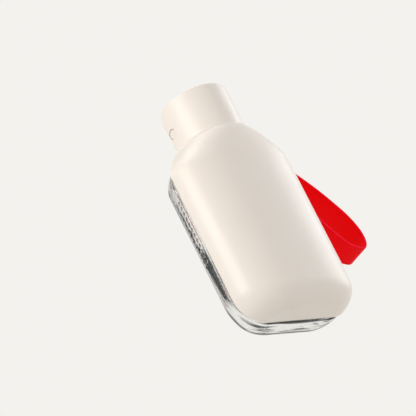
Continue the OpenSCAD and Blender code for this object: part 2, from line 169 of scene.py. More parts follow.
class Solid:
    """A mesh object made of closed surfaces, which other closed surfaces join or cut."""

    def __init__(self, name: str, points: Points, faces: Sequence[Sequence[int]]) -> None:
        """Makes the object from points in millimetres.

        Args:
            name: Name of the piece.
            points: Corner points in millimetres, one per row.
            faces: Corner numbers of each face.
        """
        mesh = bpy.data.meshes.new(name)
        mesh.from_pydata((np.asarray(points) * MM).tolist(), [], [list(f) for f in faces])
        mesh.validate()
        self.thing = bpy.data.objects.new(name, mesh)
        bpy.context.scene.collection.objects.link(self.thing)

    @classmethod
    def lofted(cls, name: str, rings: Rings, ends: list[list[int]]) -> "Solid":
        """Joins equal closed rings into a surface.

        Args:
            name: Name of the piece.
            rings: The rings, each with as many points.
            ends: Faces that close both ends, numbered over all points.

        Returns:
            The closed surface.
        """
        points = np.vstack(rings)
        here = np.arange(len(points)).reshape(len(rings), -1)
        ahead = np.roll(here, -1, axis=1)
        faces = np.stack([here[:-1], ahead[:-1], ahead[1:], here[1:]], axis=-1).reshape(-1, 4)
        solid = cls(name, points, faces.tolist() + ends)
        solid.face_outward()
        return solid

    @classmethod
    def turned(cls, name: str, profile: Points, place: Matrix, steps: int = 48) -> "Solid":
        """Turns a closed profile about its own upright axis and puts it in place.

        Args:
            name: Name of the piece.
            profile: Points as radius and height; radius 0 only at its two ends.
            place: Where the turned form goes, in millimetres.
            steps: Number of flats round the axis.

        Returns:
            The turned form.
        """
        turns = np.linspace(0, 2 * np.pi, steps, endpoint=False)
        rings = [at_height(r * circle(turns), z) for r, z in profile if r > 0]
        if profile[0][0] > 0:
            rings.append(rings[0])
            ends = []
        else:
            ends = lids(rings)
        turn, shift = np.array(place.to_3x3()).T, np.array(place.translation)
        return cls.lofted(name, [ring @ turn + shift for ring in rings], ends)

    def face_outward(self) -> None:
        """Welds doubled points and turns every face outward."""
        made = bmesh.new()
        made.from_mesh(self.thing.data)
        bmesh.ops.remove_doubles(made, verts=made.verts, dist=WELD)
        bmesh.ops.recalc_face_normals(made, faces=made.faces)
        made.to_mesh(self.thing.data)
        made.free()

    def combined(self, others: Sequence["Solid"], way: str) -> None:
        """Joins other solids to this one or cuts them from it, and removes them.

        Args:
            others: The other solids.
            way: UNION or DIFFERENCE.
        """
        for other in others:
            step = self.thing.modifiers.new(way.lower(), "BOOLEAN")
            step.operation = way
            step.solver = "MANIFOLD"
            step.object = other.thing
            view = bpy.context.evaluated_depsgraph_get()
            made = bpy.data.meshes.new_from_object(self.thing.evaluated_get(view))
            self.thing.modifiers.clear()
            old = self.thing.data
            if len(made.polygons) < 0.5 * len(old.polygons):
                raise RuntimeError(f"{way} of {other.thing.name} left too little of {old.name}")
            self.thing.data = made
            made.name = self.thing.name
            bpy.data.meshes.remove(old)
            # An object goes with its mesh.
            bpy.data.meshes.remove(other.thing.data)

    def smooth(self, sharp_angle: float) -> None:
        """Shades smooth, with a crease where faces meet at more than an angle in degrees."""
        self.thing.data.shade_smooth()
        self.thing.data.set_sharp_from_angle(angle=math.radians(sharp_angle))


# ---- finishes


def linear(hex_code: str) -> tuple[float, float, float, float]:
    """Turns an sRGB hex colour such as #EFE6DA into linear values.

    Args:
        hex_code: The colour, with or without the leading sign.

    Returns:
        Red, green, blue and an alpha of 1.
    """
    digits = hex_code.lstrip("#")
    parts = [int(digits[i : i + 2], 16) / 255 for i in (0, 2, 4)]
    red, green, blue = (
        v / 12.92 if v <= 0.04045 else ((v + 0.055) / 1.055) ** 2.4 for v in parts
    )
    return red, green, blue, 1.0


def add_node(
    tree: Tree,
    kind: str,
    settings: dict[str, Any] | None = None,
    links: dict[str, Source] | None = None,
) -> bpy.types.Node:
    """Adds a node with its settings and links.

    Args:
        tree: The node tree.
        kind: The node's type, without the leading ShaderNode.
        settings: Values by name or number of an input socket, or else by name of a property.
        links: What feeds the node, by name or number of the input socket: a socket, or a node
            for its first output.

    Returns:
        The new node.
    """
    node = tree.nodes.new("ShaderNode" + kind)
    sockets = {s.name: s for s in reversed(node.inputs)}
    sockets |= {str(k): s for k, s in enumerate(node.inputs)}
    for name, value in (settings or {}).items():
        if name in sockets:
            sockets[name].default_value = value
        else:
            setattr(node, name, value)
    for name, source in (links or {}).items():
        tree.links.new(
            source.outputs[0] if isinstance(source, bpy.types.Node) else source, sockets[name]
        )
    return node


def cells_per_metre(size_mm: float) -> float:
    """Texture scale at which one cell of a pattern measures a size in millimetres."""
    return 1000.0 / size_mm


@dataclass(frozen=True)
class Finish(ABC):
    """A real material with the surface its making gave it."""

    name: str
    colour: str
    roughness: float
    gloss_change: float
    ior: float

    def material(self) -> bpy.types.Material:
        """The Blender material, made on first use.

        Returns:
            The material.
        """
        found = bpy.data.materials.get(self.name)
        if found:
            return found
        made = bpy.data.materials.new(self.name)
        made.use_nodes = True
        made.node_tree.nodes.clear()
        add_node(made.node_tree, "OutputMaterial", links={"Surface": self.shade(made.node_tree)})
        return made

    @abstractmethod
    def shade(self, tree: Tree) -> Source:
        """Adds the nodes and returns the node of the surface."""

    def texture(
        self, tree: Tree, size_mm: float, detail: float, rough: float = 0.55,
        stretch: tuple[float, float, float] = (1.0, 1.0, 1.0),
    ) -> Source:
        """Adds a noise of a real size on the object.

        Args:
            tree: The node tree.
            size_mm: Size of its cells in millimetres.
            detail: How much finer structure it has.
            rough: How strong that structure is.
            stretch: Factors by axis; a small one draws the cells long.

        Returns:
            The noise, whose first output is its height.
        """
        place = add_node(tree, "TexCoord").outputs["Object"]
        drawn = add_node(tree, "Mapping", {"Scale": stretch}, {"Vector": place})
        scale = cells_per_metre(size_mm)
        return add_node(
            tree, "TexNoise", {"Scale": scale, "Detail": detail, "Roughness": rough},
            {"Vector": drawn},
        )

    def gloss(self, tree: Tree, height: Source) -> Source:
        """The roughness, which changes with a height by the gloss change to either side."""
        low, high = self.roughness - self.gloss_change, self.roughness + self.gloss_change
        return add_node(
            tree, "MapRange", NOISE_RANGE | {"To Min": low, "To Max": high}, {"Value": height}
        )

    def tinted(self, tree: Tree, height: Source, other: str) -> Source:
        """The colour of the finish, which turns a little to another where a height is large.

        Args:
            tree: The node tree.
            height: The height.
            other: The other colour.

        Returns:
            The socket of the colour.
        """
        share = add_node(tree, "MapRange", NOISE_RANGE, {"Value": height})
        return add_node(
            tree, "Mix", {"data_type": "RGBA", "6": linear(self.colour), "7": linear(other)},
            {"Factor": share},
        ).outputs[2]


@dataclass(frozen=True)
class MouldedPlastic(Finish):
    """Injection-moulded plastic from a finely spark-eroded mould.

    The real grain is about 0.1 mm and is drawn coarser, so that it still shows.
    """

    warm_tint: str
    grain_mm: float = 0.6
    grain_depth_mm: float = 0.012
    flow_mm: float = 38.0
    softness: float = 0.0
    reach: tuple[float, float, float] = (1.0, 0.75, 0.55)
    reach_mm: float = 1.5

    def shade(self, tree: Tree) -> Source:
        """An even grain softens the highlight, and the gloss changes slowly where the melt flowed.

        Args:
            tree: The node tree.

        Returns:
            The shader.
        """
        grain = self.texture(tree, self.grain_mm, 2.0)
        flow = self.texture(tree, self.flow_mm, 2.0)
        bump = add_node(
            tree, "Bump", {"Strength": 0.5, "Distance": self.grain_depth_mm * MM}, {"Height": grain}
        )
        return add_node(
            tree, "BsdfPrincipled",
            {"IOR": self.ior, "Subsurface Weight": self.softness,
             "Subsurface Radius": self.reach, "Subsurface Scale": self.reach_mm * MM},
            {"Base Color": self.tinted(tree, flow, self.warm_tint), "Normal": bump,
             "Roughness": self.gloss(tree, flow)},
        )


@dataclass(frozen=True)
class ClearPlastic(Finish):
    """Blow-moulded clear copolyester with a polished outside."""

    wave_mm: float = 4.5
    wave_stretch: tuple[float, float, float] = (0.1, 1.0, 0.1)
    wave_depth_mm: float = 0.25
    # Colour of the painted shade on edge-on walls and of the painted dark streaks.
    edge: str = "#14181B"
    passing: str = "#FCFCFC"
    painted_edge_slant: tuple[float, float] = (0.6, 0.95)
    painted_streak_slant: tuple[float, float] = (0.2, 0.4)
    painted_streak_height: tuple[float, float] = (0.54, 0.6)

    def shade(self, tree: Tree) -> Source:
        """Long waves run along the blown wall and bend what is seen through it into streaks.

        Where the wall turns away from the eye its colour is painted darker, a painted shade for the
        dark surroundings seen in it there, and high waves on such slants are painted as dark lines.
        Light for other pieces passes nearly unchanged.

        Args:
            tree: The node tree.

        Returns:
            The shader.
        """
        wave = self.texture(tree, self.wave_mm, 1.0, 0.5, self.wave_stretch)
        bump = add_node(
            tree, "Bump", {"Strength": 1.0, "Distance": self.wave_depth_mm * MM}, {"Height": wave}
        )
        slant = add_node(tree, "LayerWeight", {"Blend": 0.5}).outputs["Facing"]
        # Painted shade where the wall is edge on, and painted dark streaks where high waves meet a
        # slant.
        painted_edge_shade, turned, line = (
            add_node(tree, "MapRange", {"From Min": low, "From Max": high}, {"Value": source})
            for (low, high), source in (
                (self.painted_edge_slant, slant), (self.painted_streak_slant, slant), (self.painted_streak_height, wave)
            )
        )
        painted_streak = add_node(tree, "Math", {"operation": "MULTIPLY"}, {"0": line, "1": turned})
        painted_shade = add_node(tree, "Math", {"operation": "MAXIMUM"}, {"0": painted_edge_shade, "1": painted_streak})
        colour = add_node(
            tree, "Mix", {"data_type": "RGBA", "6": linear(self.colour), "7": linear(self.edge)},
            {"Factor": painted_shade},
        )
        shader = add_node(
            tree, "BsdfPrincipled", {"IOR": self.ior, "Transmission Weight": 1.0},
            {"Base Color": colour.outputs[2], "Normal": bump, "Roughness": self.gloss(tree, wave)},
        )
        shadow = add_node(tree, "LightPath").outputs["Is Shadow Ray"]
        open_way = add_node(tree, "BsdfTransparent", {"Color": linear(self.passing)})
        return add_node(tree, "MixShader", links={"Fac": shadow, "1": shader, "2": open_way})


@dataclass(frozen=True)
class MouldedSilicone(Finish):
    """Compression-moulded silicone or rubber with a dry, powdery skin.

    The real specks are about 0.1 mm and are drawn coarser, so that they still show.
    """

    dust: str
    speck_mm: float = 0.9
    speck_depth_mm: float = 0.02
    cloud_mm: float = 22.0
    sheen: float = 0.0
    shine: float = 0.5
    # Colour of the painted highlight along both long edges; none where empty.
    edge: str = ""
    painted_edge_places: tuple[float, float] = (0.0, 0.0)
    painted_edge_width: tuple[float, float] = (0.5, 0.1)

    def shade(self, tree: Tree) -> Source:
        """The skin is matte and slightly dusty, with a soft bloom at grazing light.

        Args:
            tree: The node tree.

        Returns:
            The shader.
        """
        speck = self.texture(tree, self.speck_mm, 3.0)
        cloud = self.texture(tree, self.cloud_mm, 2.0)
        bump = add_node(
            tree, "Bump", {"Strength": 0.4, "Distance": self.speck_depth_mm * MM}, {"Height": speck}
        )
        colour = self.tinted(tree, cloud, self.dust)
        # A painted highlight along the long edges, where a colour for it is given.
        if self.edge:
            colour = self.painted_edge_light(tree, colour)
        return add_node(
            tree, "BsdfPrincipled",
            {"IOR": self.ior, "Specular IOR Level": self.shine, "Sheen Weight": self.sheen,
             "Sheen Roughness": 0.4},
            {"Base Color": colour, "Normal": bump, "Roughness": self.gloss(tree, speck)},
        )

    def painted_edge_light(self, tree: Tree, colour: Source) -> Source:
        """Paints the colour lighter along both long edges, a painted highlight where the edges
        catch the light.

        Args:
            tree: The node tree.
            colour: The colour between the edges.

        Returns:
            The socket of the whole colour.
        """
        place = add_node(tree, "TexCoord").outputs["Object"]
        across = add_node(tree, "SeparateXYZ", links={"0": place}).outputs[1]
        low, high = (v * MM for v in self.painted_edge_places)
        middle, half = (low + high) / 2, (high - low) / 2
        aside = add_node(tree, "Math", {"operation": "SUBTRACT", "1": middle}, {"0": across})
        distance = add_node(tree, "Math", {"operation": "ABSOLUTE"}, {"0": aside})
        start, full = (half - v * MM for v in self.painted_edge_width)
        share = add_node(
            tree, "MapRange", {"From Min": start, "From Max": full}, {"Value": distance}
        )
        return add_node(
            tree, "Mix", {"data_type": "RGBA", "7": linear(self.edge)},
            {"Factor": share, "6": colour},
        ).outputs[2]


class Finishes(Enum):
    """Every finish of the bottle."""

    # Satin polypropylene: a wide soft highlight, and a little depth at the edges.
    CREAM_SHELL = MouldedPlastic(
        "satin_polypropylene_cream", "#F1E9E1", 0.34, 0.03, 1.49, "#F0E7DE", softness=0.04
    )
    # The same plastic on the cap, a shade deeper.
    CREAM_CAP = MouldedPlastic(
        "satin_polypropylene_cap", "#EFE6DC", 0.34, 0.03, 1.49, "#ECE2D7", grain_mm=0.5
    )
    # Grey-brown polypropylene with a duller skin, which reads as a soft grip.
    TAUPE_KNOB = MouldedPlastic(
        "moulded_polypropylene_taupe", "#8C857B", 0.45, 0.03, 1.49, "#857E74", grain_mm=0.5
    )
    # Copolyester: nearly colourless and glossy, with painted shade where the wall is seen edge on
    # and painted dark streaks along its waves.
    CLEAR_BOTTLE = ClearPlastic("blown_clear_copolyester", "#FBFBFA", 0.02, 0.01, 1.56)
    # Red silicone: saturated and matte, with a painted highlight along its thin edges.
    RED_STRAP = MouldedSilicone(
        "moulded_silicone_red", "#FA0008", 0.5, 0.05, 1.41, "#FC020C", shine=0.08,
        # Colour and place of the painted edge highlight.
        edge="#FF1232", painted_edge_places=(-2.0, 18.0),
    )
    # White silicone: matte and even.
    WHITE_GASKET = MouldedSilicone(
        "moulded_silicone_white", "#DEDEDA", 0.5, 0.05, 1.41, "#E4E4E0", sheen=0.05
    )
    # Black nitrile rubber: dark grey with a faint bloom.
    BLACK_SEAL = MouldedSilicone(
        "moulded_nitrile_rubber_black", "#232322", 0.55, 0.05, 1.5, "#2A2A29", sheen=0.05
    )


# ---- pieces


class Piece(ABC):
    """A sub-assembly that builds its meshes, puts them in the frame and dresses them."""

    body: str
    slot: str
    solid: Solid

    @abstractmethod
    def build(self) -> None:
        """Builds the meshes."""

    @abstractmethod
    def dress(self) -> None:
        """Gives the meshes their finish."""

    def settle(self, node: str) -> None:
        """Puts the mesh on its body in place of a CAD node.

        Args:
            node: Name of the CAD node that the mesh stands for.
        """
        thing = self.solid.thing
        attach(thing, self.body)
        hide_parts(node)
        LOG.info("%s: %d faces on %s", thing.name, len(thing.data.polygons), self.body)

    def paint(self, finish: "Finishes") -> None:
        """Gives the whole mesh one finish.

        Args:
            finish: The finish.
        """
        mesh = self.solid.thing.data
        mesh.materials.clear()
        mesh.materials.append(finish.value.material())
        mesh.polygons.foreach_set("material_index", np.zeros(len(mesh.polygons), np.int32))


@dataclass
class HingeSizes:
    """Sizes and curves that the shell, the bottle and the strap share."""

    height: float = 165.0
    shell_half_width: float = 50.5
    shell_depth: float = 34.5
    back_depth: float = 18.5
    shell_wall: float = 2.0
    channel_half_width: float = 26.5
    channel_depth: float = 31.44
    channel_rim: float = 5.0
    bowl_rim: float = 2.9
    rim_turn: float = 7.0
    rim_run: float = 17.0
    rim_gap: float = 0.6
    nest_gap: float = 0.8
    neck_radius: float = 17.6
    strap_top: float = 21.7
    shoulder_top: float = 14.5
    shoulder_bottom: float = 40.0
    shoulder_power: float = 1.4
    corner: float = 21.0
    toe: float = 14.5
    bowl_power: float = 2.5
    channel_power: float = 2.1

    @property
    def half_wall(self) -> float:
        """Half the wall of the shell, which is the radius of its rounded rims."""
        return self.shell_wall / 2

    def share(self, z: float) -> float:
        """Share of the full bowl width at a height: 1 below the shoulder and 0 above it."""
        up = (self.shoulder_bottom - (self.height - z)) / (self.shoulder_bottom - self.shoulder_top)
        return max(0.0, 1 - within(up) ** self.shoulder_power) ** (1 / self.shoulder_power)

    def front(self, share: float) -> float:
        """Outer depth of the shell at a share of the full bowl width."""
        return self.channel_depth + (self.shell_depth - self.channel_depth) * share

    def power(self, share: float) -> float:
        """Squareness of a section at a share of the full bowl width."""
        return self.channel_power + (self.bowl_power - self.channel_power) * share

    def rim(self, z: float) -> float:
        """Place of the rim of the shell at a height, without the lobes."""
        down = ease((self.height - z - self.rim_turn) / self.rim_run)
        return self.channel_rim - (self.channel_rim + self.bowl_rim) * down


SHARED = HingeSizes()


@dataclass
class BowlShell(Piece):
    """The cream shell that flips up into a drinking bowl."""

    channel_reach: float = 20.8
    lobe_radius: float = 8.0
    dam_depth: float = 18.0
    lift: float = 0.8
    edge: float = 0.8
    tip: float = 1.2
    neck_fillet: float = 1.4
    boss_radius: float = 4.75
    boss_reach: float = 1.9
    bore_radius: float = 2.55
    head_bore_radius: float = 3.85
    head_bore_depth: float = 1.7
    around: int = 92
    body: str = "bowl"
    slot: str = "shell_plastic"

    def half_width(self, z: float) -> float:
        """Outer half width at a height, without the lower rounding.

        Args:
            z: The height.

        Returns:
            The half width.
        """
        above = z - (SHARED.height - SHARED.shoulder_top)
        fillet = rounding(above, self.neck_fillet) if above > 0 else 0.0
        grown = (SHARED.shell_half_width - SHARED.channel_half_width) * SHARED.share(z)
        return SHARED.channel_half_width + max(grown, fillet)

    def rim(self, z: float) -> float:
        """Place of the rim at a height, with the lobes."""
        return SHARED.rim(z) - rounding(SHARED.height + self.channel_reach - z, self.lobe_radius)

    def wall_line(self, half: float, front: float, power: float, start: float) -> Points:
        """Evenly spaced points from the right rim round the front to the left rim.

        Args:
            half: Half width of the section.
            front: Depth of the section.
            power: Squareness of the section.
            start: Place along Y where the line starts and ends.

        Returns:
            The points.
        """
        first = math.asin(within(-start / front) ** (power / 2))
        turns = np.linspace(first, math.pi - first, 361)
        line = pairs(half * bend(np.cos(turns), power), -front * bend(np.sin(turns), power))
        if start > 0:
            line = np.vstack([[half, start], line, [-half, start]])
        return even_points(line, self.around)

    def ring(self, z: float, inside: Inside | None, drop: float) -> Points:
        """One closed section of the shell.

        Args:
            z: Height of the section.
            inside: Changes the inner line, or None where the section is filled.
            drop: How far the rim is set back.

        Returns:
            The points, the outer line first and the inner one back.
        """
        blunt = rounding(SHARED.height + self.channel_reach - z, self.edge)
        rim, r = self.rim(z) - drop, SHARED.half_wall
        share = SHARED.share(z)

        def line(inset: float, trim: float) -> Points:
            """The line at an inset from the outside, and trimmed where the end is blunted."""
            above, front = z - (self.lift + inset), SHARED.front(share)
            return self.wall_line(
                self.half_width(z) - inset - rounding(above, SHARED.corner - inset) - trim,
                front - inset - rounding(above, SHARED.toe - inset) - trim,
                SHARED.power(share), rim - r,
            )

        outer = line(0.0, blunt)
        reach = outer[0][0]
        arc = angles(7.5, 90, 15)
        if inside is None:
            across = 1.0
            inner = pairs(np.linspace(reach - self.tip, -reach + self.tip, self.around), rim)
            spare = pairs(np.linspace(reach - 1, reach - 1.17, len(arc)), rim)
        else:
            inner = inside(line(SHARED.shell_wall, -blunt), z)
            gap = reach - inner[0][0]
            spare_gap = gap - 2 * self.tip
            across = gap / 2 if spare_gap < 0 else min(gap / 2, self.tip + 0.25 * spare_gap)
            spare = pairs(reach - gap + across - across * np.sin(arc), rim - r + r * np.cos(arc))
        head = pairs(reach - across + across * np.sin(arc), rim - r + r * np.cos(arc))
        mirror = np.array([-1.0, 1.0])
        going = np.vstack([head, outer, head[::-1] * mirror])
        back = np.vstack([spare, inner, spare[::-1] * mirror])
        return at_height(np.vstack([going, back[::-1]]), z)

    def dammed(self, inner: Points, z: float) -> Points:
        """The inner line with everything in front of the rounded end wall filled.

        Args:
            inner: The inner line.
            z: Its height.

        Returns:
            The changed line.
        """
        r = SHARED.half_wall
        middle = SHARED.height + self.channel_reach - r
        back = self.dam_depth + r - math.sqrt(max(0.0, r**2 - (z - middle) ** 2))
        held = inner.copy()
        held[:, 1] = np.maximum(held[:, 1], -back)
        return held

    def rings(self) -> Rings:
        """All sections from the floor to the end of the channel.

        Returns:
            The sections, lowest first.
        """
        hinge, r = SHARED.height, SHARED.half_wall
        end = hinge + self.channel_reach
        floor = self.lift + SHARED.shell_wall
        lobe = end - self.lobe_radius
        dam = end - SHARED.shell_wall
        shoulder, top = hinge - SHARED.shoulder_bottom, hinge - SHARED.shoulder_top
        slab = [
            (self.lift + r - r * math.cos(a), None, r - r * math.sin(a))
            for a in angles(0, 181, 15)
        ]
        # The sections stand closer together where the form bends.
        heights = np.concatenate([
            [floor + 0.03],
            floor + (SHARED.corner - 2) * (1 - np.cos(angles(6, 91, 5))),
            np.arange(27, shoulder - 3, 7),
            shoulder + (top - shoulder) * np.sin(angles(-5, 90.1, 3)),
            top - np.array([0.25, 0.1, 0.04, 0.01]),
            top + self.neck_fillet * (1 - np.cos(angles(5, 91, 12))),
            np.arange(hinge - 10.5, lobe, 1.6),
            lobe + self.lobe_radius * np.sin(angles(0, 50, 5)),
        ])
        heights = np.unique(np.round(heights[heights < dam - 0.05], 3))
        opened = [(z, lambda line, _: line, 0.0) for z in np.append(heights, dam - 0.01)]
        closing = [
            (dam + r - r * math.cos(a), self.dammed, 0.0)
            for a in np.concatenate([angles(0, 130, 12), angles(132, 181, 6)])
        ]
        return [self.ring(*spec) for spec in slab + opened + closing]

    def build(self) -> None:
        """Lofts the shell, adds the hinge bosses and bores the hinge holes."""
        rings = self.rings()
        count = len(rings[0])
        last = (len(rings) - 1) * count
        half = count // 2
        ends = [[i, count - 1 - i, count - 2 - i, i + 1] for i in range(half - 1)]
        ends += [[last + face[k] for k in (0, 3, 2, 1)] for face in ends]
        self.solid = Solid.lofted("bowl_shell_moulding", rings, ends)
        out = SHARED.channel_half_width
        inner, deep = out - SHARED.shell_wall, out - self.head_bore_depth
        near, far = inner - self.boss_reach, inner + 1.2
        r, bore, head = self.boss_radius, self.bore_radius, self.head_bore_radius
        boss = np.array([[0, far], [r, far], [r, near + 0.5], [r - 0.15, near + 0.15],
                         [r - 0.5, near], [0, near]])
        hole = np.array([
            [0, out + 3], [head + 0.25, out + 3], [head + 0.25, out], [head + 0.07, out - 0.12],
            [head, out - 0.3], [head, deep], [bore, deep], [bore, near - 2], [0, near - 2],
        ])
        bosses, cuts = [], []
        for side, name in ((-1, "left"), (1, "right")):
            place = Matrix.Translation((0, 0, SHARED.height))
            place = place @ Matrix.Rotation(side * math.pi / 2, 4, "Y")
            bosses.append(Solid.turned("boss_" + name, boss, place))
            cuts.append(Solid.turned("hinge_bore_" + name, hole, place, 64))
        self.solid.combined(bosses, "UNION")
        self.solid.combined(cuts, "DIFFERENCE")
        self.solid.smooth(32)
        self.settle("bowl_shell")

    def dress(self) -> None:
        """Cream polypropylene all over."""
        self.paint(Finishes.CREAM_SHELL)


@dataclass
class ClearBottle(Piece):
    """The see-through bottle with its nested front, neck thread and grip dots."""

    wall: float = 1.6
    side_wall: float = 1.2
    side_inset: float = 0.4
    nest_bottom: float = 4.4
    back_corner: float = 25.0
    back_edge: float = 19.0
    inner_edge: float = 17.5
    back_toe: float = 10.0
    nest_toe: float = 16.5
    shoulder_drop: float = 26.2
    shoulder_inset: float = 5.5
    shoulder_edge: float = 3.0
    back_shoulder: float = 5.0
    back_drop: float = 0.5
    nest_shoulder: float = 16.0
    nest_drop: float = 6.0
    rise_inside: float = 0.6
    rise_outside: float = 0.2
    neck_wall: float = 1.8
    neck_lip: float = 1.0
    step_edge: float = 0.9
    dot_count: int = 12
    dot_pitch: float = 4.5
    dot_radius: float = 1.35
    dot_height: float = 0.45
    dot_start: float = 58.0
    dot_turns: tuple[float, float] = (7.0, 13.0)
    thread_pitch: float = 3.6
    thread_turns: float = 1.6
    thread_height: float = 0.95
    thread_drop: float = 9.0
    thread_fade: float = 0.12
    thread_half: float = 0.78
    thread_flank: float = 0.43
    bead: tuple[tuple[float, float], ...] = (
        (0, 2.2), (0.6, 1.6), (1.0, 1.25), (1.1, 1.0), (1.0, 0.78), (0.45, 0.55), (0.3, 0.4),
        (0.3, -1), (0.3, -2.2),
    )
    root: tuple[tuple[float, float], ...] = ((0.3, 1.2), (0.55, 0.55), (1.2, 0.2))
    body: str = "bottle"
    slot: str = "clear_bottle"

    @property
    def top(self) -> float:
        """Height at which the shoulder turns flat."""
        return SHARED.height - self.shoulder_drop

    @property
    def step(self) -> float:
        """Place of the step behind the rim of the shell."""
        return SHARED.rim_gap - SHARED.bowl_rim

    @property
    def half_width(self) -> float:
        """Half width of the clear back where it is widest."""
        return SHARED.shell_half_width - self.side_inset

    def share(self, z: float) -> float:
        """Share of the full bottle width at a height."""
        return SHARED.share(z + self.shoulder_inset)

    def fall(self, z: float) -> float:
        """Loss of width at the shoulder."""
        whole = SHARED.shell_half_width - SHARED.channel_half_width
        return whole * (1 - self.share(z)) + rounding(self.top - z, self.shoulder_edge)

    def back_width(self, z: float) -> float:
        """Half width of the clear back at a height."""
        return self.half_width - rounding(z, self.back_corner) - self.fall(z)

    def shoulder(self, z: float, radius: float) -> float:
        """Share of its loss that a rounding under the flat shoulder has at a height."""
        return rounding(self.top - z, radius) / radius

    def back_reach(self, z: float) -> float:
        """Depth behind the neck at a height."""
        loss = self.back_drop * self.shoulder(z, self.back_shoulder)
        return SHARED.back_depth - rounding(z, self.back_toe) - loss

    def nest_width(self, z: float) -> float:
        """Half width of the nested front at a height."""
        wide = SHARED.shell_half_width - SHARED.shell_wall - SHARED.nest_gap
        return min(wide - rounding(z - self.nest_bottom, SHARED.corner) - self.fall(z),
                   self.back_width(z) - 0.5)

    def nest_front(self, z: float) -> float:
        """Depth of the nested front at a height."""
        deep = SHARED.front(self.share(z)) - SHARED.shell_wall - SHARED.nest_gap
        return (deep - rounding(z - self.nest_bottom, self.nest_toe)
                - self.nest_drop * self.shoulder(z, self.nest_shoulder))

    def section(
        self, wide: float, back: float, narrow: float, front: float, step: float, edge: float,
        power: float,
    ) -> Points:
        """A flat section: back, left side and step, nested front, right step and side.

        Args:
            wide: Half width of the back.
            back: Depth behind the neck.
            narrow: Half width of the nested front.
            front: Depth of the nested front.
            step: Place of the step.
            edge: Radius of the upright back edges.
            power: Squareness of the nested front.

        Returns:
            The points of the closed section.
        """
        blunt = min(self.step_edge, (wide - narrow) * 0.9)
        r = min(edge, back - step - blunt - 0.5)
        turn, small = angles(0, 91, 9), angles(0, 91, 22.5)
        flat = np.linspace(wide - r, -wide + r, 14)[1:-1]
        side = np.linspace(back - r, step + blunt, 5)[1:-1]
        ledge = np.linspace(wide - blunt, narrow, 5)[1:-1]
        angle = np.linspace(0, np.pi, 73)
        corner = pairs(wide - r + r * np.cos(turn), back - r + r * np.sin(turn))
        nest = pairs(-narrow * bend(np.cos(angle), power),
                     step - (front + step) * bend(np.sin(angle), power))
        right = np.vstack([
            pairs(ledge[::-1], step),
            pairs(wide - blunt + blunt * np.sin(small), step + blunt - blunt * np.cos(small)),
            pairs(wide, side[::-1]),
        ])
        left = (np.vstack([right, corner]) * [-1.0, 1.0])[::-1]
        return np.vstack([corner, pairs(flat, back), left, nest, right])

    def outer(self, z: float) -> Points:
        """Outer section at a height; under the nested front only the back is left."""
        front = -self.step if z < self.nest_bottom else self.nest_front(z)
        return self.section(
            self.back_width(z), self.back_reach(z), self.nest_width(z), front, self.step,
            self.back_edge, SHARED.power(self.share(z)),
        )

    def inner(self, z: float) -> Points:
        """Inner section at a height, a wall inside the outer one.

        Args:
            z: The height.

        Returns:
            The points of the closed section.
        """
        thin = self.side_wall
        near = z + (thin if z > SHARED.height / 2 else -thin)
        low = z < self.nest_bottom + self.wall
        return self.section(
            self.back_width(near) - thin, self.back_reach(near) - self.wall,
            self.nest_width(near) - thin,
            -self.step - self.wall if low else self.nest_front(near) - thin,
            self.step + self.wall, self.inner_edge, SHARED.power(self.share(z)),
        )

    def thread(self, turn: Points, z: float) -> Points:
        """Height of the thread ridge round the neck.

        Args:
            turn: Angles round the neck in radians.
            z: Height on the bottle.

        Returns:
            How far the ridge stands out at each angle.
        """
        start = SHARED.height - self.thread_drop
        whole = np.zeros(len(turn))
        for lap in range(3):
            travelled = (turn % (2 * np.pi)) / (2 * np.pi) + lap
            middle = start + self.thread_pitch * travelled
            left = np.minimum(travelled, self.thread_turns - travelled)
            ends = np.clip(left / self.thread_fade, 0, 1)
            flank = np.clip((self.thread_half - np.abs(z - middle)) / self.thread_flank, 0, 1)
            whole = np.maximum(whole, self.thread_height * flank * ends)
        return whole

    def neck_rings(self, turn: Points) -> Rings:
        """Rings of the neck from the bore over the lip down to the shoulder.

        Args:
            turn: Angles of the points round the neck in radians.

        Returns:
            The rings.
        """
        hinge, r = SHARED.height, SHARED.neck_radius
        bore = r - self.neck_wall
        lip = hinge + self.neck_lip
        bead = hinge - SHARED.strap_top
        base = self.top
        line = [(bore, z) for z in np.linspace(base + 1.5, lip - 0.6, 18)]
        line += [(bore + 0.15, lip - 0.15), (bore + 0.6, lip), (r - 0.5, lip)]
        line.append((r - 0.12, lip - 0.15))
        line += [(r, z) for z in np.arange(lip - 0.5, bead + 2.4, -0.35)]
        line += [(r + out, bead + up) for out, up in self.bead]
        line += [(r + out, base + up) for out, up in self.root]
        plain = np.zeros(len(turn))
        grown = [radius + (self.thread(turn, z) if radius == r else plain) for radius, z in line]
        return [at_height(out[:, None] * circle(turn), z) for out, (_, z) in zip(grown, line)]

    def to_circle(self, curve: Points, radius: float, low: float, rise: float) -> Rings:
        """Rings on the flat of the shoulder from a section to a circle about the neck.

        Args:
            curve: The section.
            radius: Radius of the circle.
            low: Height at the section.
            rise: How much higher the circle is.

        Returns:
            The rings, from the section to the circle, both left out.
        """
        goal = radius * circle(self.turn(curve))
        return [
            at_height(curve * (1 - s) + goal * s, low + rise * s)
            for s in np.linspace(0, 1, 8)[1:-1]
        ]

    @staticmethod
    def turn(curve: Points) -> Points:
        """Even angles round the neck that start near the first point of a section."""
        start = math.atan2(curve[0][1], curve[0][0])
        return start + np.linspace(0, 2 * np.pi, len(curve), endpoint=False)

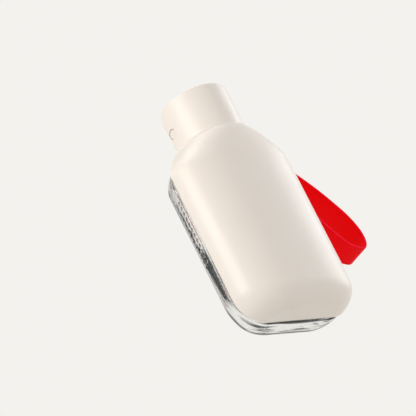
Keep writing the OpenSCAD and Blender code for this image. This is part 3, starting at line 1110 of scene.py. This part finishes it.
    def rings(self) -> Rings:
        """All rings, up the inside and down the outside.

        Returns:
            The rings.
        """
        top = self.top
        inside_top = top - self.wall
        floor = self.nest_bottom + self.wall
        foot = SHARED.height - SHARED.shoulder_bottom - self.shoulder_inset
        shoulder = foot + (top - foot) * np.sin(angles(-6, 88, 5))
        inside = np.unique(np.round(np.concatenate([
            floor + 23 * (1 - np.cos(angles(4, 91, 6))),
            np.arange(34, foot - 8, 8.0), shoulder - self.wall,
        ]), 3))
        outside = np.unique(np.round(np.concatenate([
            self.nest_bottom + 24 * (1 - np.cos(angles(3, 91, 5))),
            np.arange(33, foot - 5, 7.0), shoulder,
        ]), 3))[::-1]
        foot_heights = (1.8, 1.9, 2.3, 2.9, 3.6, 4.4, 5.2, floor - 0.02)
        rings = [at_height(self.inner(z), z) for z in (*foot_heights, *inside, inside_top)]
        bore = SHARED.neck_radius - self.neck_wall
        rings += self.to_circle(self.inner(inside_top), bore, inside_top, self.rise_inside)
        rings += self.neck_rings(self.turn(self.outer(top)))
        root = SHARED.neck_radius + self.root[-1][0]
        rings += self.to_circle(self.outer(top), root, top, self.rise_outside)[::-1]
        toe = (self.nest_bottom - 0.02, 3.8, 3.2, 2.6, 2.1, 1.6, 1.1, 0.7, 0.4, 0.18, 0.05, 0.0)
        return rings + [at_height(self.outer(z), z) for z in (top, *outside, *toe)]

    def dots(self) -> list[Solid]:
        """The grip dots on both sides, each a low button with a rounded edge.

        Returns:
            The dots.
        """
        r, h = self.dot_radius, self.dot_height
        profile = np.array([
            [0, -0.6], [r, -0.6], [r, h - 0.25], [r - 0.08, h - 0.08], [r - 0.3, h], [0, h]
        ])
        first, step = self.dot_turns
        made = []
        for side, row, i in product((-1, 1), (0, 1), range(self.dot_count)):
            z = SHARED.height - self.dot_start - self.dot_pitch * (i + row / 2)
            edge = self.back_edge
            axis = (side * (self.half_width - edge), SHARED.back_depth - edge, z)
            turn = math.radians(90 - side * (90 - first - step * row))
            place = Matrix.Translation(axis) @ Matrix.Rotation(turn, 4, "Z")
            place = place @ Matrix.Translation((edge, 0, 0))
            place = place @ Matrix.Rotation(math.pi / 2, 4, "Y")
            made.append(Solid.turned("dot", profile, place, 20))
        return made

    def build(self) -> None:
        """Lofts the bottle as one wall with an inside and an outside and adds the dots."""
        rings = self.rings()
        self.solid = Solid.lofted("clear_bottle_moulding", rings, lids(rings))
        self.solid.combined(self.dots(), "UNION")
        self.solid.smooth(34)
        self.settle("bottle_body")

    def dress(self) -> None:
        """Clear copolyester all over."""
        self.paint(Finishes.CLEAR_BOTTLE)


@dataclass
class CarryStrap(Piece):
    """The silicone strap, a flat band whose two ends are rings round the neck."""

    width: float = 20.0
    thickness: float = 1.8
    ring_bore: float = 18.2
    ring_radius: float = 20.7
    rim_gap: float = 0.5
    edge: float = 0.7
    route: tuple[tuple[float, float], ...] = (
        (4, 22.6), (30, 22.6), (40, 22.7), (46, 23.3), (52, 27), (56.5, 32), (65, 41.5),
        (71.5, 48.8), (77.6, 56.3), (85.4, 67.4), (92.6, 79.4), (96.8, 91.7), (96.5, 101.8),
        (92, 106.8), (84.1, 104.8), (78.4, 99.9), (72.5, 92), (65.3, 80.3), (60.3, 69.1),
        (57.5, 57.1), (56.1, 45.4), (54.1, 35.6), (50, 28.6), (45, 25.2), (40, 24.7), (30, 24.5),
        (4, 24.5),
    )
    body: str = "strap"
    slot: str = "strap_silicone"

    def profile(self) -> Points:
        """Section of the band, across its width and through its thickness, with rounded edges.

        Returns:
            The points of the closed section.
        """
        w, t, r = self.width / 2, self.thickness / 2, self.edge
        corner = [w - r, t - r] + r * circle(angles(0, 91, 18))
        flat = pairs(np.linspace(w - r, -w + r, 14)[1:-1], t)
        upper = np.vstack([corner, flat, corner[::-1] * [-1, 1]])
        return np.vstack([upper, -upper])

    def build(self) -> None:
        """Sweeps the band along its route and turns the two rings."""
        line = smooth_line(np.array(self.route), 10)
        ahead = np.gradient(line, axis=0)
        ahead /= np.linalg.norm(ahead, axis=1)[:, None]
        aside = np.column_stack([-ahead[:, 1], ahead[:, 0]])
        middle = self.width / 2 + SHARED.rim(SHARED.height - SHARED.strap_top) + self.rim_gap
        section = self.profile()
        rings = []
        for centre, side in zip(line, aside):
            x, down = (centre + np.outer(section[:, 1], side)).T
            rings.append(np.column_stack([x, middle + section[:, 0], SHARED.height - down]))
        self.solid = Solid.lofted("carry_strap_band", rings, lids(rings))
        b, r, t = self.ring_bore, self.ring_radius, self.thickness
        profile = np.array([
            [b, 0.3], [b + 0.3, 0], [r - 0.5, 0], [r - 0.15, 0.15], [r, 0.5], [r, t - 0.5],
            [r - 0.15, t - 0.15], [r - 0.5, t], [b + 0.3, t], [b, t - 0.3],
        ])
        top = SHARED.height - SHARED.strap_top
        places = [Matrix.Translation((0, 0, z)) for z in (top - t, top - t - (t + 0.1), top)]
        eyes = [Solid.turned("eye", profile, place, 96) for place in places[:2]]
        self.solid.combined(eyes, "UNION")
        bore = np.array([[0, -9], [b, -9], [b, 3], [0, 3]])
        self.solid.combined([Solid.turned("bore", bore, places[2], 96)], "DIFFERENCE")
        self.solid.smooth(40)
        self.settle("carry_strap")

    def dress(self) -> None:
        """Red silicone all over."""
        self.paint(Finishes.RED_STRAP)


@dataclass
class Fittings(Piece):
    """The pieces whose CAD form is right as it is: cap, gasket, valve and hinge pins."""

    finishes: dict[str, Finishes] = field(default_factory=lambda: {
        "screw_cap": Finishes.CREAM_CAP,
        "cap_gasket": Finishes.WHITE_GASKET,
        "valve_knob": Finishes.TAUPE_KNOB,
        "knob_o_ring": Finishes.BLACK_SEAL,
        "pivot_pin_left": Finishes.CREAM_SHELL,
        "pivot_pin_right": Finishes.CREAM_SHELL,
    })

    def build(self) -> None:
        """Nothing to build: the CAD nodes stay."""
        LOG.info("fittings: %d CAD nodes stay", len(self.finishes))

    def dress(self) -> None:
        """Gives each CAD node its own finish."""
        for name, finish in self.finishes.items():
            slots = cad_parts[name].data.materials
            slots.clear()
            slots.append(finish.value.material())


# ---- studio


@dataclass(frozen=True)
class SoftLight:
    """A square soft light that looks at the middle of the bottle."""

    name: str
    place: tuple[float, float, float]
    side: float
    power: float
    colour: str = "#FFFFFF"
    mirrored: bool = True

    def build(self, target: Vector) -> None:
        """Adds the light; unless mirrored, gloss and clear plastic don't show it.

        Args:
            target: The point it looks at, in metres.
        """
        lamp = bpy.data.lights.new(self.name, "AREA")
        lamp.shape, lamp.size, lamp.energy = "SQUARE", self.side, self.power
        lamp.color = linear(self.colour)[:3]
        thing = bpy.data.objects.new(self.name, lamp)
        bpy.context.scene.collection.objects.link(thing)
        thing.location = self.place
        thing.rotation_euler = (target - Vector(self.place)).to_track_quat("-Z", "Y").to_euler()
        thing.visible_camera = False
        thing.visible_glossy = thing.visible_transmission = self.mirrored


@dataclass
class Studio:
    """Floor, soft light, pale surroundings and the camera."""

    pale: str = "#F3F2EE"
    surround: float = 0.55
    floor_glow: float = 0.8
    flag: str = "#1C1E20"
    flag_ways: tuple[tuple[float, float, float], ...] = (
        (118, 20, 0.93), (75, 65, 0.94), (160, 5, 0.95), (-60, 40, 0.95), (45, -30, 0.93),
    )
    flag_edge: float = 0.03
    floor_half: float = 6.0
    floor_share: float = 0.85
    camera_place: tuple[float, float, float] = (-1907.52, -1878.17, -1190.23)
    camera_right: tuple[float, float, float] = (0.77034, -0.49288, -0.40453)
    camera_up: tuple[float, float, float] = (0.04179, -0.59403, 0.80336)
    focal_pixels: float = 4249.9
    image_pixels: int = 416
    sensor: float = 36.0
    lights: tuple[SoftLight, ...] = (
        SoftLight("key", (-1.5, -0.15, 0.75), 0.9, 11.5, "#FFFBF6"),
        SoftLight("side", (1.35, -0.35, 0.5), 0.9, 6.5, "#F8FAFF"),
        SoftLight("top", (-0.3, -0.2, 1.7), 0.8, 5.0),
        SoftLight("back", (0.3, 1.5, 0.6), 0.9, 11.0, mirrored=False),
    )

    def surroundings(self) -> None:
        """A pale world: at full strength where it is seen, softer where it only lights.

        Gloss and clear plastic also find narrow dark flags in it, which draw their edges.
        """
        world = bpy.data.worlds.new("studio")
        bpy.context.scene.world = world
        world.use_nodes = True
        tree = world.node_tree
        tree.nodes.clear()
        lit, shown, flag = (
            add_node(tree, "Background", {"Color": linear(colour), "Strength": strength})
            for colour, strength in (("#FFFFFF", self.surround), (self.pale, 1.0), (self.flag, 1.0))
        )
        flagged = add_node(
            tree, "MixShader", links={"Fac": self.flags(tree), "1": shown, "2": flag}
        )
        mix = add_node(tree, "MixShader", links={"Fac": self.seen(tree), "1": lit, "2": flagged})
        add_node(tree, "OutputWorld", links={"Surface": mix})

    def flags(self, tree: Tree) -> Source:
        """A value of 1 in the directions of the dark flags, but 0 for the camera itself.

        Args:
            tree: The world's node tree.

        Returns:
            The node of the value.
        """
        way = add_node(tree, "TexCoord").outputs["Generated"]
        whole = None
        for heading, rise, near in self.flag_ways:
            a, b = math.radians(heading), math.radians(rise)
            aim = (math.cos(a) * math.cos(b), math.sin(a) * math.cos(b), math.sin(b))
            dot = {"operation": "DOT_PRODUCT", "1": aim}
            facing = add_node(tree, "VectorMath", dot, {"0": way}).outputs["Value"]
            share = add_node(
                tree, "MapRange", {"From Min": near, "From Max": near + self.flag_edge},
                {"Value": facing},
            )
            whole = share if whole is None else add_node(
                tree, "Math", {"operation": "MAXIMUM"}, {"0": whole, "1": share}
            )
        camera = add_node(tree, "LightPath").outputs["Is Camera Ray"]
        return add_node(
            tree, "Math", {"operation": "SUBTRACT", "use_clamp": True}, {"0": whole, "1": camera}
        )

    @staticmethod
    def seen(tree: Tree) -> Source:
        """A value of 1 for rays that show a thing by itself, in gloss or through clear plastic.

        Args:
            tree: The node tree.

        Returns:
            The source of the value.
        """
        ways = add_node(tree, "LightPath").outputs
        value = ways["Is Camera Ray"]
        for name in ("Is Glossy Ray", "Is Transmission Ray"):
            value = add_node(tree, "Math", {"operation": "MAXIMUM"}, {"0": value, "1": ways[name]})
        return value

    def floor(self) -> None:
        """A wide pale floor whose colour meets the surroundings and which keeps the shadow.

        The camera of the photograph looks up from below it, so its underside is see-through.
        """
        half = self.floor_half / MM
        corners = [[-half, -half, 0], [half, -half, 0], [half, half, 0], [-half, half, 0]]
        plane = Solid("floor", np.array(corners), [[0, 1, 2, 3]])
        material = bpy.data.materials.new("pale_floor")
        material.use_nodes = True
        tree = material.node_tree
        tree.nodes.clear()
        ground = add_node(tree, "BsdfDiffuse", {"Color": linear(self.pale)})
        strength = add_node(
            tree, "MapRange", {"To Min": self.floor_glow, "To Max": 1.0}, {"Value": self.seen(tree)}
        )
        glow = add_node(tree, "Emission", {"Color": linear(self.pale)}, {"Strength": strength})
        mix = add_node(tree, "MixShader", {"Fac": self.floor_share}, {"1": ground, "2": glow})
        under = add_node(tree, "NewGeometry").outputs["Backfacing"]
        gone = add_node(tree, "BsdfTransparent")
        cover = add_node(tree, "MixShader", links={"Fac": under, "1": mix, "2": gone})
        add_node(tree, "OutputMaterial", links={"Surface": cover})
        plane.thing.data.materials.append(material)

    def camera(self) -> None:
        """The camera of the photograph, turned as the picture is turned."""
        data = bpy.data.cameras.new("camera")
        data.sensor_width = self.sensor
        data.lens = self.focal_pixels / self.image_pixels * self.sensor
        data.clip_start, data.clip_end = 0.05, 50
        thing = bpy.data.objects.new("camera", data)
        bpy.context.scene.collection.objects.link(thing)
        right, up = Vector(self.camera_right).normalized(), Vector(self.camera_up).normalized()
        back = right.cross(up)
        turn = Matrix((right, back.cross(right), back)).transposed().to_4x4()
        thing.matrix_world = Matrix.Translation(Vector(self.camera_place) * MM) @ turn
        bpy.context.scene.camera = thing

    def build(self) -> None:
        """Builds the whole studio."""
        bpy.context.scene.view_settings.view_transform = "Standard"
        self.surroundings()
        self.floor()
        for light in self.lights:
            light.build(Vector((0, 0, 0.1)))
        self.camera()
        LOG.info("studio: %d lights", len(self.lights))


def main() -> None:
    """Builds the studio and every piece in order."""
    logging.basicConfig(level=logging.INFO, format="%(name)s: %(message)s")
    Studio().build()
    for piece in (BowlShell(), ClearBottle(), CarryStrap(), Fittings()):
        piece.build()
        piece.dress()


if __name__ == "__main__":
    main()
